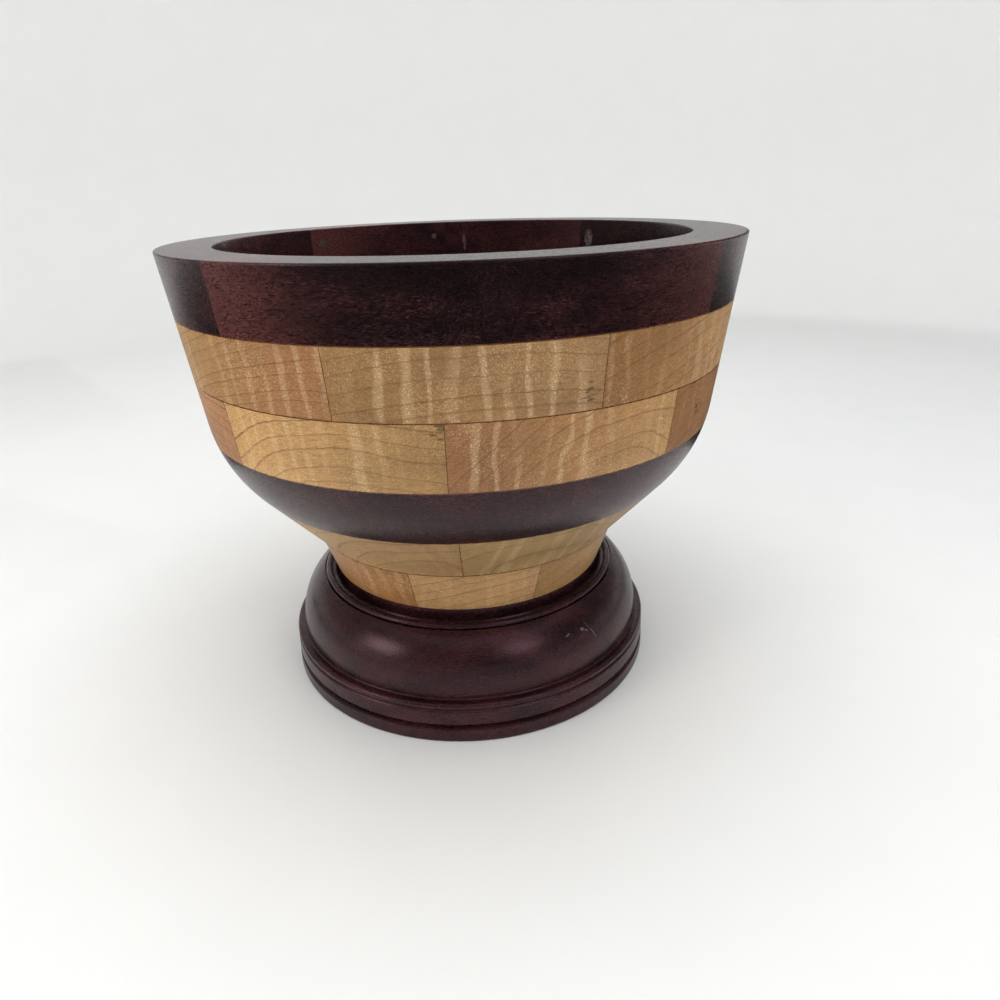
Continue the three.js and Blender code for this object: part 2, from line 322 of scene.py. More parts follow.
def turned(name, points, timber, **given):
    """A turned piece from its section, in millimetres. What isn't given is as for a whole turn."""
    section = drawn_curve(steadied(points))
    inputs = {
        "Section": section, "Whole Turn": True, "Boards": 1, "Number": 0, "Joint": 0.0, "Glue Line": 0.0,
        "Steps": WHOLE_TURN_STEPS, "Pith": (0, 0, 0), "Grain Slope": 0.0, "Grain Start": 0.0,
        "Ring Spacing": 2.0, "Tint": linear(0xffffff), "Far Tint": linear(0xffffff), "Figure": 0.0,
        "Marks And Dark Reflection": (0.0, 0.0, 0.0), "Timber": timber,
    }
    inputs.update(given)
    inputs["Pith"] = tuple(v * MM for v in inputs["Pith"])
    inputs["Glue Line"] *= MM
    piece = made_by(lathe, name, inputs)
    curve = section.data
    bpy.data.objects.remove(section)
    bpy.data.curves.remove(curve)
    return piece


def board_values(tree):
    """What the lathe stored on a board: place in the grain in millimetres, along, spacing, figure, tint."""
    grain, along, spacing, figure, tint = (
        add(tree, "ShaderNodeAttribute", attribute_name=name).outputs[kind]
        for name, kind in (
            ("grain", "Vector"), ("along", "Fac"), ("spacing", "Fac"), ("figure", "Fac"), ("tint", "Color"),
        )
    )
    place = add(tree, "ShaderNodeVectorMath", {0: grain, 3: 1 / MM}, operation="SCALE")
    return place, along, spacing, figure, tint


def marks_and_dark_reflection_depth(tree, along, stretch):
    """How deep a point lies in a board's marked place: 1 at its middle, 0 at its reach and beyond.
    In maple the place holds mineral marks, in the dark boards a painted dark reflection.
    Its attribute holds the middle (millimetres along the board and above the ground) and the reach."""
    stain = add(tree, "ShaderNodeAttribute", attribute_name="stain").outputs["Vector"]
    stain = add(tree, "ShaderNodeSeparateXYZ", {0: stain}).outputs
    above = add(tree, "ShaderNodeTexCoord").outputs["Object"]
    above = add(tree, "ShaderNodeSeparateXYZ", {0: above}).outputs["Z"]
    above = add(tree, "ShaderNodeMath", {0: above, 1: 1 / MM}, operation="MULTIPLY")
    beside = add(tree, "ShaderNodeMath", {0: along, 1: stain["X"]}, operation="SUBTRACT")
    beside = add(tree, "ShaderNodeMath", {0: beside, 1: stretch}, operation="DIVIDE")
    over = add(tree, "ShaderNodeMath", {0: above, 1: stain["Y"]}, operation="SUBTRACT")
    apart = add(tree, "ShaderNodeCombineXYZ", {0: beside, 1: over})
    apart = add(tree, "ShaderNodeVectorMath", {0: apart}, operation="LENGTH").outputs["Value"]
    return add(tree, "ShaderNodeMapRange", {0: apart, 1: stain["Z"], 2: 0.0})


def drawn_out(tree, place, repeats, detail):
    """A mottle with its repeats per millimetre along the grain and in both directions across it."""
    place = add(tree, "ShaderNodeVectorMath", {0: place, 1: repeats}, operation="MULTIPLY")
    return add(tree, "ShaderNodeTexNoise", {"Vector": place, "Scale": 1.0, "Detail": detail})


def purpleheart_material():
    """Dark tropical hardwood, sanded, its pores left open, under a thin satin-gloss lacquer.
    The eye gets near-black purplish brown, short pore lines along the grain and soft reflections."""
    material, tree = new_material("purpleheart_satin_lacquer")
    place, along, spacing, figure, tint = board_values(tree)
    # Closely grown wood shows less of its pores and fibres
    coarse = add(tree, "ShaderNodeMapRange", {0: spacing, 1: 0.5, 2: 2.0, 3: 0.2, 4: 1.0})

    # The fibres flow in slow waves, so what follows them rises and falls a little along the board
    flow = drawn_out(tree, place, (0.03, 0.05, 0.05), 1.0)
    flow = add(tree, "ShaderNodeMath", {0: flow, 1: 3.0}, operation="MULTIPLY")
    flow = add(tree, "ShaderNodeCombineXYZ", {1: flow, 2: flow})
    flow = add(tree, "ShaderNodeVectorMath", {0: place, 1: flow}, operation="ADD")

    # Open pores 2 mm long, drawn 0.3 mm wide, about twice the real width, so that they show
    pores = drawn_out(tree, flow, (0.5, 3.5, 3.5), 3.0)
    open_pores = add(tree, "ShaderNodeMapRange", {0: pores, 1: 0.52, 2: 0.66}, **SOFT_STEP)
    # A few pores are filled with pale polishing compound
    filled_pores = add(tree, "ShaderNodeMapRange", {0: pores, 1: 0.25, 2: 0.20, 3: 0.0, 4: 0.7}, **SOFT_STEP)
    # Dark streaks of resin about 8 mm long and 0.5 mm wide, gathered in some places
    streaks = drawn_out(tree, flow, (0.12, 1.9, 1.9), 3.0)
    streaks = add(tree, "ShaderNodeMapRange", {0: streaks, 1: 0.55, 2: 0.64, 3: 0.0, 4: 0.8}, **SOFT_STEP)
    gathered = add(tree, "ShaderNodeTexNoise", {"Vector": place, "Scale": 0.05, "Detail": 1.0})
    gathered = add(tree, "ShaderNodeMapRange", {0: gathered, 1: 0.45, 2: 0.6, 3: 0.2, 4: 1.0})
    streaks = add(tree, "ShaderNodeMath", {0: streaks, 1: gathered}, operation="MULTIPLY")
    # Patches of darker and redder growth, about 6 mm wide and up to 2 cm long
    bands = drawn_out(tree, flow, (0.05, 0.14, 0.14), 3.0)
    bands = add(tree, "ShaderNodeMapRange", {0: bands, 1: 0.35, 2: 0.68})
    # Fine fibre 1 mm long, drawn 0.25 mm wide, and a stipple of fibre ends, drawn 0.3 mm across
    fibre = drawn_out(tree, flow, (0.9, 4.2, 4.2), 2.0)
    stipple = add(tree, "ShaderNodeTexNoise", {"Vector": place, "Scale": 3.4, "Detail": 2.0})
    fine = add(tree, "ShaderNodeMath", {0: fibre, 1: stipple}, operation="ADD")
    fine = add(tree, "ShaderNodeMapRange", {0: fine, 1: 0.72, 2: 1.28, 3: -0.8, 4: 1.0})
    fine = add(tree, "ShaderNodeMath", {0: fine, 1: coarse, 2: 1.0}, operation="MULTIPLY_ADD")
    # The lightest fibres show as greyish-brown flecks, also in the darkest wood
    flecks = add(tree, "ShaderNodeMapRange", {0: fibre, 1: 0.50, 2: 0.66, 3: 0.0, 4: 0.55}, **SOFT_STEP)
    patchy = add(tree, "ShaderNodeMapRange", {0: bands, 1: 0.1, 2: 0.9, 3: 0.3, 4: 1.0})
    # Where a board is marked, a long place is painted nearly black over the wood, a painted dark reflection,
    # with fainter flecks
    painted_dark_reflection = add(
        tree, "ShaderNodeMapRange", {0: marks_and_dark_reflection_depth(tree, along, 4.0), 2: 0.7, 4: 0.93}, **SOFT_STEP
    )
    faint = add(tree, "ShaderNodeMath", {0: painted_dark_reflection, 1: -0.8, 2: 1.0}, operation="MULTIPLY_ADD")
    for share in (patchy, coarse, faint):
        flecks = add(tree, "ShaderNodeMath", {0: flecks, 1: share}, operation="MULTIPLY")
    # Painted sheen: towards one end of a board the colour turns redder, as if its fibres shone there; the
    # figure says how much and which end
    painted_sheen = add(tree, "ShaderNodeMath", {0: along, 1: figure}, operation="MULTIPLY")
    painted_sheen = add(tree, "ShaderNodeMapRange", {0: painted_sheen, 1: 10.0, 2: -34.0}, **SOFT_STEP)
    strength = add(tree, "ShaderNodeMath", {0: figure}, operation="ABSOLUTE")
    painted_sheen = add(tree, "ShaderNodeMath", {0: painted_sheen, 1: strength}, operation="MULTIPLY")

    wood = linear(0x11070a)
    # Growth bands, then the painted redder sheen, over the darkest wood
    for share, colour in ((bands, 0x301416), (painted_sheen, 0x5a3430)):
        wood = add(tree, "ShaderNodeMix", {0: share, 6: wood, 7: linear(colour)}, **LAID_OVER).outputs[2]
    for layer in (fine, tint):
        wood = add(tree, "ShaderNodeMix", {0: 1.0, 6: wood, 7: layer}, **TONED).outputs[2]
    depth = add(tree, "ShaderNodeMath", {0: open_pores, 1: 0.6}, operation="MULTIPLY")
    depth = add(tree, "ShaderNodeMath", {0: depth, 1: coarse}, operation="MULTIPLY")
    # Over the wood: the painted dark reflection, pale flecks, resin streaks, open pores and filled pores
    layers = (
        (painted_dark_reflection, 0x080304), (flecks, 0x644644), (streaks, 0x0a0405), (depth, 0x0a0405),
        (filled_pores, 0x8a6f6c),
    )
    for share, colour in layers:
        wood = add(tree, "ShaderNodeMix", {0: share, 6: wood, 7: linear(colour)}, **LAID_OVER).outputs[2]
    rough = add(tree, "ShaderNodeMapRange", {0: open_pores, 3: 0.29, 4: 0.22})
    relief = add(tree, "ShaderNodeMath", {0: fibre, 1: open_pores}, operation="SUBTRACT")
    relief = add(tree, "ShaderNodeMath", {0: relief, 1: coarse}, operation="MULTIPLY")
    bump = add(tree, "ShaderNodeBump", {"Strength": 0.4, "Distance": 0.03 * MM, "Height": relief})
    surface = add(tree, "ShaderNodeBsdfPrincipled", {
        "Base Color": wood, "Roughness": rough, "Normal": bump, "IOR": 1.47,
        "Specular Tint": linear(0xffced8),
    })
    add(tree, "ShaderNodeOutputMaterial", {"Surface": surface})
    return material


lathe = lathe_tree()
purpleheart = purpleheart_material()

bead_middle = PLATE_HEIGHT - PLATE_BEAD
quirk_height = bead_middle - PLATE_BEAD
plate_section = rounded([
    (0, UNDERSIDE_HOLLOW, 0),
    (PLATE_RADIUS - STANDING_RING - UNDERSIDE_HOLLOW, UNDERSIDE_HOLLOW, HOLLOW_CORNER_ROUND),
    (PLATE_RADIUS - STANDING_RING, 0, RING_ROUND),
    (PLATE_RADIUS, 0, PLATE_ARRIS),
    (PLATE_RADIUS, GROOVE_HEIGHT - GROOVE_WIDTH / 2, GROOVE_LIP_ROUND),
    (PLATE_RADIUS - GROOVE_DEPTH, GROOVE_HEIGHT, GROOVE_BOTTOM_ROUND),
    (PLATE_RADIUS, GROOVE_HEIGHT + GROOVE_WIDTH / 2, GROOVE_LIP_ROUND),
    (PLATE_RADIUS, quirk_height - PLATE_QUIRK, QUIRK_LIP_ROUND),
    (PLATE_RADIUS - PLATE_QUIRK, quirk_height, QUIRK_BOTTOM_ROUND),
])
plate_section += arc((PLATE_RADIUS - PLATE_BEAD, bead_middle), PLATE_BEAD, -50, 90)
plate_section.append(Vector((0, PLATE_HEIGHT)))
plate = turned(
    "pedestal_plate_turned", plate_section, purpleheart,
    **{"Pith": (0, 30, -90), "Grain Start": 1.7, "Ring Spacing": 0.9, "Tint": linear(0xffe8ec)},
)
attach(plate, "root")
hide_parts("pedestal_plate")


# Pedestal dome
# The upper board of the pedestal, turned from one solid piece of the same dark hardwood.
# A short neck and a hollow run under the bowl, then a small bead and the dome. The bowl's tenon is let in.
FOOT_RADIUS = 46.9
GLUE_GAP = 0.3
TENON_RADIUS = 38.0
TENON_HEIGHT = 4.6
DOME_BOARD = 22.4
NECK_SETBACK = 0.5
NECK_HEIGHT = 5.2
HOLLOW_ROUND = 1.7
BEAD_ROUND = 1.1
QUIRK_WIDTH = 0.6
QUIRK_DEPTH = 0.8
DOME_RADIUS = 59.5
DOME_BASE = 2.7
DOME_HOLLOW = 0.5
SEAT_HEIGHT = PLATE_HEIGHT + DOME_BOARD

neck = FOOT_RADIUS - NECK_SETBACK
bead_centre = neck + HOLLOW_ROUND + BEAD_ROUND + NECK_SETBACK
quirk_floor = SEAT_HEIGHT - NECK_HEIGHT
quirk_edge = bead_centre + BEAD_ROUND + QUIRK_WIDTH
rise = quirk_floor + QUIRK_DEPTH - PLATE_HEIGHT - DOME_BASE
run = DOME_RADIUS - quirk_edge
dome_round = (rise * rise + run * run) / (2 * run)
dome_sweep = math.degrees(math.atan2(rise, dome_round - run))
recess = TENON_RADIUS + GLUE_GAP
dome_section = [
    Vector((0, PLATE_HEIGHT)),
    *arc((DOME_RADIUS + DOME_HOLLOW, PLATE_HEIGHT + DOME_HOLLOW), DOME_HOLLOW, -90, -180),
    *arc((DOME_RADIUS - dome_round, PLATE_HEIGHT + DOME_BASE), dome_round, 0, dome_sweep),
    Vector((quirk_edge, quirk_floor)),
    *arc((bead_centre, quirk_floor + BEAD_ROUND), BEAD_ROUND, -90, 225),
    *arc((neck + HOLLOW_ROUND, quirk_floor + HOLLOW_ROUND), HOLLOW_ROUND, -90, -180),
    Vector((neck, SEAT_HEIGHT)),
    Vector((recess, SEAT_HEIGHT)),
    Vector((recess, SEAT_HEIGHT - TENON_HEIGHT)),
    Vector((0, SEAT_HEIGHT - TENON_HEIGHT)),
]
dome = turned(
    "pedestal_dome_turned", dome_section, purpleheart,
    **{"Pith": (0, 50, -60), "Grain Start": 0.6, "Ring Spacing": 0.9, "Tint": linear(0xdcc8cc)},
)
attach(dome, "root")
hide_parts("pedestal_dome")


# Bowl floor disc
# A round piece of the dark hardwood that closes the hole in the middle of the lowest course.
# It is glued in and turned flush with the bowl's floor.
COURSES_BOTTOM = SEAT_HEIGHT - TENON_HEIGHT
FLOOR_THICKNESS = 13.0
FLOOR_HEIGHT = SEAT_HEIGHT + FLOOR_THICKNESS
FLOOR_DISC_RADIUS = 24.0
DISC_EASE = 0.2                # its lower edge, eased to start in the hole
DISC_TOP_EASE = 0.05

disc_section = rounded([
    (0, COURSES_BOTTOM, 0),
    (FLOOR_DISC_RADIUS, COURSES_BOTTOM, DISC_EASE),
    (FLOOR_DISC_RADIUS, FLOOR_HEIGHT, DISC_TOP_EASE),
    (0, FLOOR_HEIGHT, 0),
])
disc = turned(
    "bowl_floor_disc_turned", disc_section, purpleheart,
    **{"Pith": (0, 20, -50), "Grain Start": 2.9, "Tint": linear(0xfff0f0)},
)
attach(disc, "root")
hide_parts("bowl_floor_disc")


# Foot course
# The lowest ring: eight mitred maple boards, its underside turned to a tenon that seats in the pedestal.
# The wall above it is one turned shape, so the section of the whole bowl is drawn here, once.
BOARD = 19.0
COURSES = 6
BOARDS_IN_COURSE = 8
BOARD_STEPS = 26
RIM_RADIUS = 91.0
RIM_FLARE = 10.7
SHOULDER_DROP = 7.6
COURSES_OVER_BAND = 3
SHOULDER_ROUND = 42.0
FOOT_FLARE = 5.5
WAIST_ROUND = 12.0
LIP_WIDTH = 16.0
LIP_ARRIS = 0.5
TENON_ARRIS = 0.3
FOOT_ARRIS = 0.15
WALL = 11.0
FLOOR_ROUND = 20.0
BED_FILM = 0.34                # visible width of the glue between two courses
MITRE_FILM = 0.22              # and of the glue between two maple boards
DARK_MITRE_FILM = 0.04         # the dark boards' mitres are closed tight
PITH_DISTANCE = 95.0           # from a board to the middle of its tree
GRAIN_SHIFT = 0.37             # metres of plank between two boards, so that no two look alike
SAME_POINT = 0.0001            # points of a section nearer than this are one point

rim_height = COURSES_BOTTOM + COURSES * BOARD
rim = Vector((RIM_RADIUS, rim_height))
shoulder = Vector((RIM_RADIUS - RIM_FLARE, rim_height - COURSES_OVER_BAND * BOARD - SHOULDER_DROP))
waist = Vector((FOOT_RADIUS + FOOT_FLARE, COURSES_BOTTOM + BOARD))


def inset(before, corner, after, thickness):
    """The corner between two sides, moved inwards by the same thickness from both."""
    first = (corner - before).normalized()
    second = (after - corner).normalized()
    inwards = Vector((first.y + second.y, -first.x - second.x))
    return corner + inwards * thickness / (1 + first.dot(second))


inner_shoulder = inset(rim, shoulder, waist, WALL)
undercut = (shoulder.x - waist.x) / (shoulder.y - waist.y)
floor_edge = inner_shoulder.x - undercut * (inner_shoulder.y - FLOOR_HEIGHT)
bore = FLOOR_DISC_RADIUS + GLUE_GAP
bowl_section = rounded([
    (rim.x, rim.y, LIP_ARRIS),
    (rim.x - LIP_WIDTH, rim.y, LIP_ARRIS),
    (inner_shoulder.x, inner_shoulder.y, SHOULDER_ROUND - WALL),
    (floor_edge, FLOOR_HEIGHT, FLOOR_ROUND),
    (bore, FLOOR_HEIGHT, 0),
    (bore, COURSES_BOTTOM, 0),
    (TENON_RADIUS, COURSES_BOTTOM, TENON_ARRIS),
    (TENON_RADIUS, SEAT_HEIGHT, 0),
    (FOOT_RADIUS, SEAT_HEIGHT, FOOT_ARRIS),
    (waist.x, waist.y, WAIST_ROUND),
    (shoulder.x, shoulder.y, SHOULDER_ROUND),
])


def sliced(points, low, high):
    """The part of a closed section between two heights."""
    for level, keep_above in ((low, True), (high, False)):
        kept = []
        for i, point in enumerate(points):
            before = points[i - 1]
            inside = point.y >= level if keep_above else point.y <= level
            was_inside = before.y >= level if keep_above else before.y <= level
            if inside != was_inside:
                kept.append(before.lerp(point, (level - before.y) / (point.y - before.y)))
            if inside:
                kept.append(point)
        points = kept
    return [p for i, p in enumerate(points) if (p - points[i - 1]).length > SAME_POINT]


def maple_material():
    """Hard maple, some of it with a flame figure, sanded fine under a satin lacquer.
    The eye gets honey tan, thin brown growth lines, light stripes across the grain and a soft sheen."""
    material, tree = new_material("maple_satin_lacquer")
    place, along, spacing, figure, tint = board_values(tree)

    # Flame figure: light stripes across the grain, 5 to 7 mm apart, that wander a little and come and go
    lies = add(tree, "ShaderNodeSeparateXYZ", {0: place}).outputs
    own = add(tree, "ShaderNodeMath", {0: lies["X"], 1: along}, operation="SUBTRACT")
    up = add(tree, "ShaderNodeMath", {0: lies["Z"], 1: 0.25}, operation="MULTIPLY")
    along_flame = add(tree, "ShaderNodeCombineXYZ", {0: along, 1: own, 2: up})
    flame = add(
        tree, "ShaderNodeTexWave",
        {"Vector": along_flame, "Scale": 0.052, "Distortion": 6.0, "Detail": 2.0, "Detail Scale": 2.0},
        wave_type="BANDS", bands_direction="X",
    )
    flame = add(tree, "ShaderNodeMapRange", {0: flame, 1: 0.58, 2: 1.0}, **SOFT_STEP)
    patches = drawn_out(tree, along_flame, (0.09, 0.09, 0.09), 1.0)
    patches = add(tree, "ShaderNodeMapRange", {0: patches, 1: 0.38, 2: 0.6, 3: 0.1, 4: 1.0})
    for share in (patches, figure):
        flame = add(tree, "ShaderNodeMath", {0: flame, 1: share}, operation="MULTIPLY")

    # Growth lines: distance from the pith over the ring spacing, bent by slow waves and by the flame
    waves = drawn_out(tree, place, (0.025, 0.04, 0.04), 1.0)
    ripple = drawn_out(tree, place, (0.4, 0.15, 0.15), 2.0)
    across = add(tree, "ShaderNodeVectorMath", {0: place, 1: (0.0, 1.0, 1.0)}, operation="MULTIPLY")
    radius = add(tree, "ShaderNodeVectorMath", {0: across}, operation="LENGTH").outputs["Value"]
    for bend, reach in ((waves, 5.0), (ripple, 0.3), (flame, 0.15)):
        radius = add(tree, "ShaderNodeMath", {0: bend, 1: reach, 2: radius}, operation="MULTIPLY_ADD")
    uneven = add(
        tree, "ShaderNodeTexNoise", {"W": radius, "Scale": 0.2, "Detail": 0.0}, noise_dimensions="1D"
    )
    radius = add(tree, "ShaderNodeMath", {0: uneven, 1: 3.5, 2: radius}, operation="MULTIPLY_ADD")
    rings = add(tree, "ShaderNodeMath", {0: radius, 1: spacing}, operation="DIVIDE")
    year = add(tree, "ShaderNodeMath", {0: rings}, operation="FLOOR")
    season = add(tree, "ShaderNodeMath", {0: rings}, operation="FRACT")
    late = add(tree, "ShaderNodeMapRange", {0: season, 1: 0.84, 2: 0.94}, **SOFT_STEP)
    end = add(tree, "ShaderNodeMapRange", {0: season, 1: 0.955, 2: 1.0, 3: 1.0, 4: 0.0}, **SOFT_STEP)
    weight = add(tree, "ShaderNodeTexWhiteNoise", {"W": year}, noise_dimensions="1D")
    weight = add(tree, "ShaderNodeMapRange", {0: weight, 3: 0.35, 4: 0.8})
    fade = add(tree, "ShaderNodeMapRange", {0: ripple, 1: 0.3, 2: 0.6, 3: 0.55, 4: 1.0})
    for share in (end, weight, fade):
        late = add(tree, "ShaderNodeMath", {0: late, 1: share}, operation="MULTIPLY")
    early = add(tree, "ShaderNodeMath", {0: season, 1: -0.07, 2: 1.03}, operation="MULTIPLY_ADD")

    # Fine fibre 3 mm long and a stipple of fibre ends, both drawn 0.4 mm wide, and slow change of tone
    fibre = drawn_out(tree, place, (0.35, 2.4, 2.4), 2.0)
    stipple = add(tree, "ShaderNodeTexNoise", {"Vector": place, "Scale": 2.6, "Detail": 2.0})
    fine = add(tree, "ShaderNodeMath", {0: fibre, 1: stipple}, operation="ADD")
    fine = add(tree, "ShaderNodeMapRange", {0: fine, 1: 0.7, 2: 1.3, 3: 0.72, 4: 1.28})
    tone = drawn_out(tree, place, (0.0525, 0.084, 0.084), 2.0)
    tone = add(tree, "ShaderNodeMapRange", {0: tone, 1: 0.3, 2: 0.7, 3: 0.88, 4: 1.12})
    # Painted glints: light specks where cut fibre ends would catch the light, in some places and most of all
    # in the flame
    painted_glints = add(tree, "ShaderNodeMapRange", {0: stipple, 1: 0.53, 2: 0.68}, **SOFT_STEP)
    lively = add(tree, "ShaderNodeTexNoise", {"Vector": place, "Scale": 0.06, "Detail": 1.0})
    lively = add(tree, "ShaderNodeMapRange", {0: lively, 1: 0.45, 2: 0.65, 3: 0.05, 4: 0.28})
    lively = add(tree, "ShaderNodeMath", {0: flame, 1: 0.5, 2: lively}, operation="MULTIPLY_ADD")
    painted_glints = add(tree, "ShaderNodeMath", {0: painted_glints, 1: lively}, operation="MULTIPLY", use_clamp=True)

    # Brown mineral marks along the grain, in the board's stained place
    marks = drawn_out(tree, place, (0.3, 0.9, 1.3), 2.0)
    deep = marks_and_dark_reflection_depth(tree, along, 1.0)
    marks = add(tree, "ShaderNodeMath", {0: deep, 1: 0.14, 2: marks}, operation="MULTIPLY_ADD")
    marks = add(tree, "ShaderNodeMapRange", {0: marks, 1: 0.6, 2: 0.72, 3: 0.0, 4: 0.7}, **SOFT_STEP)
    inside = add(tree, "ShaderNodeMath", {0: deep, 1: 0.0}, operation="GREATER_THAN")
    marks = add(tree, "ShaderNodeMath", {0: marks, 1: inside}, operation="MULTIPLY")

    wood = tint
    for layer in (tone, early, fine):
        wood = add(tree, "ShaderNodeMix", {0: 1.0, 6: wood, 7: layer}, **TONED).outputs[2]
    glow = add(tree, "ShaderNodeMath", {0: flame, 1: 0.31}, operation="MULTIPLY")
    # Painted glints and flame stripes lighten the wood; growth lines and mineral marks darken it
    for share, colour in ((painted_glints, 0xe9cfa4), (glow, 0xe4c496), (late, 0x6f4a26), (marks, 0x4a2c10)):
        wood = add(tree, "ShaderNodeMix", {0: share, 6: wood, 7: linear(colour)}, **LAID_OVER).outputs[2]
    rough = add(tree, "ShaderNodeMapRange", {0: fibre, 1: 0.3, 2: 0.7, 3: 0.44, 4: 0.54})
    bump = add(tree, "ShaderNodeBump", {"Strength": 0.2, "Distance": 0.03 * MM, "Height": fibre})
    surface = add(tree, "ShaderNodeBsdfPrincipled", {
        "Base Color": wood, "Roughness": rough, "Normal": bump, "IOR": 1.5,
    })
    add(tree, "ShaderNodeOutputMaterial", {"Surface": surface})
    return material


def glue_material(name, dark, pale, gloss):
    """Set wood glue, dried polish or wax, coloured by dust and sealed by the lacquer.
    The eye gets plain lines and spots, mottled a little, with the gloss of the wood round them."""
    material, tree = new_material(name)
    place = add(tree, "ShaderNodeTexCoord").outputs["Object"]
    spots = add(tree, "ShaderNodeTexNoise", {"Vector": place, "Scale": 450.0, "Detail": 2.0})
    colour = {0: spots, 6: linear(dark), 7: linear(pale)}
    colour = add(tree, "ShaderNodeMix", colour, **LAID_OVER).outputs[2]
    rough = add(tree, "ShaderNodeMapRange", {0: spots, 1: 0.3, 2: 0.7, 3: 0.24, 4: 0.34})
    surface = add(tree, "ShaderNodeBsdfPrincipled", {
        "Base Color": colour, "Roughness": rough, "IOR": 1.5, "Specular Tint": linear(gloss),
    })
    add(tree, "ShaderNodeOutputMaterial", {"Surface": surface})
    return material


def glue_tree():
    """Geometry nodes that stand one flat glue film in each mitre of a course."""
    tree, given, drawn = section_tree("glue_mitres", (
        ("Boards", "Int"), ("Joint", "Float"), ("Thickness", "Float"), ("Glue", "Material"),
    ))
    face = add(tree, "GeometryNodeFillCurve", {0: drawn}, mode="NGONS")
    half = add(tree, "ShaderNodeMath", {0: given["Thickness"], 1: -0.5}, operation="MULTIPLY")
    half = add(tree, "ShaderNodeCombineXYZ", {2: half})
    face = add(tree, "GeometryNodeTransform", {0: face, "Translation": half})
    film = add(
        tree, "GeometryNodeExtrudeMesh",
        {0: face, "Offset": (0.0, 0.0, 1.0), "Offset Scale": given["Thickness"], "Individual": False},
    )
    film = add(tree, "GeometryNodeJoinGeometry", {0: film})
    tree.links.new(face.outputs[0], film.inputs[0])
    film = add(tree, "GeometryNodeMergeByDistance", {0: film, "Distance": MERGE_DISTANCE * MM})
    stand = (math.pi / 2, 0.0, -math.pi / 2)
    film = add(tree, "GeometryNodeTransform", {0: film, "Rotation": stand})
    spots = add(tree, "GeometryNodeMeshLine", {"Count": given["Boards"], "Offset": (0.0, 0.0, 0.0)})
    index = add(tree, "GeometryNodeInputIndex")
    pitch = add(tree, "ShaderNodeMath", {0: 2 * math.pi, 1: given["Boards"]}, operation="DIVIDE")
    turn = add(tree, "ShaderNodeMath", {0: index, 1: pitch, 2: given["Joint"]}, operation="MULTIPLY_ADD")
    turn = add(tree, "ShaderNodeCombineXYZ", {2: turn})
    films = add(tree, "GeometryNodeInstanceOnPoints", {"Points": spots, "Instance": film, "Rotation": turn})
    films = add(tree, "GeometryNodeRealizeInstances", {0: films})
    films = add(tree, "GeometryNodeSetMaterial", {0: films, "Material": given["Glue"]})
    add(tree, "NodeGroupOutput", {0: films})
    return tree


maple = maple_material()
glue_in_maple = glue_material("glue_line_in_maple", 0x4a2810, 0x6a3f1a, 0xffffff)
glue_in_purpleheart = glue_material("glue_line_in_purpleheart", 0x060304, 0x0b0506, 0xffced8)
glue_mitres = glue_tree()


def course(name, node, row, joint, timber, boards):
    """One ring of mitred boards, each in its own look, with the glue between them.
    A look is the tints of the board's two ends, the arch, slope and spacing of its growth lines,
    its figure (in a dark board, how strong a painted redder sheen is and at which end) and, for a marked
    board, where its marks lie and how far they reach (in a dark board, a painted dark reflection)."""
    low = rim_height - (row + 1) * BOARD
    film, glue = (MITRE_FILM, glue_in_maple) if timber == maple else (DARK_MITRE_FILM, glue_in_purpleheart)
    bottom = low if row == COURSES - 1 else low + BED_FILM / 2
    top = rim_height if row == 0 else low + BOARD - BED_FILM / 2
    wall = sliced(bowl_section, bottom, top)
    outer = max(point.x for point in wall)
    for number, (tint, far_tint, arch, slope, spacing, figure, *stain) in enumerate(boards):
        lean = math.hypot(1, arch)
        pith = (0.0, -outer - PITH_DISTANCE * arch / lean, low + BOARD / 2 - PITH_DISTANCE / lean)
        piece = turned(
            f"{name}_board_{number + 1}", wall, timber,
            **{"Whole Turn": False, "Boards": BOARDS_IN_COURSE, "Number": number,
               "Joint": math.radians(joint), "Glue Line": film, "Steps": BOARD_STEPS, "Pith": pith,
               "Grain Slope": math.radians(slope), "Grain Start": row + number * GRAIN_SHIFT,
               "Ring Spacing": spacing, "Tint": linear(tint), "Far Tint": linear(far_tint),
               "Figure": figure, "Marks And Dark Reflection": (*stain, 0.0, 0.0, 0.0)[:3]},
        )
        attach(piece, "root")
        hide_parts(f"{node}_{number + 1}")
    drawn = drawn_curve(wall)
    films = made_by(glue_mitres, f"{name}_glue", {
        "Section": drawn, "Boards": BOARDS_IN_COURSE, "Joint": math.radians(joint),
        "Thickness": film * MM, "Glue": glue,
    })
    bpy.data.objects.remove(drawn)
    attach(films, "root")
    if row > 0:
        seam = low + BOARD
        joint_section = sliced(bowl_section, seam - BED_FILM / 2, seam + BED_FILM / 2)
        bed = turned(f"{name}_bed_glue", joint_section, glue_in_maple)
        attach(bed, "root")


course("foot_course", "foot_maple_segment", 5, 24.5, maple, [
    (0x967143, 0x997242, 0.9, 6, 2.6, 0.3),
    (0xaa804b, 0xb08751, 0.4, -4, 2.4, 0.3),
    (0xae8450, 0xa67a45, -0.5, 5, 2.8, 0.5),
    (0xa57643, 0xac804c, 0.7, 3, 2.4, 0.4),
    (0xad834e, 0xb18954, 0.2, -6, 2.6, 0.6),
    (0xb18954, 0xa97e49, 0.8, 4, 3.0, 0.2),
    (0xa06f3c, 0x916233, 0.5, -14, 2.6, 0.5),
    (0xaa8253, 0xab8356, 0.3, 12, 2.8, 0.3),
])


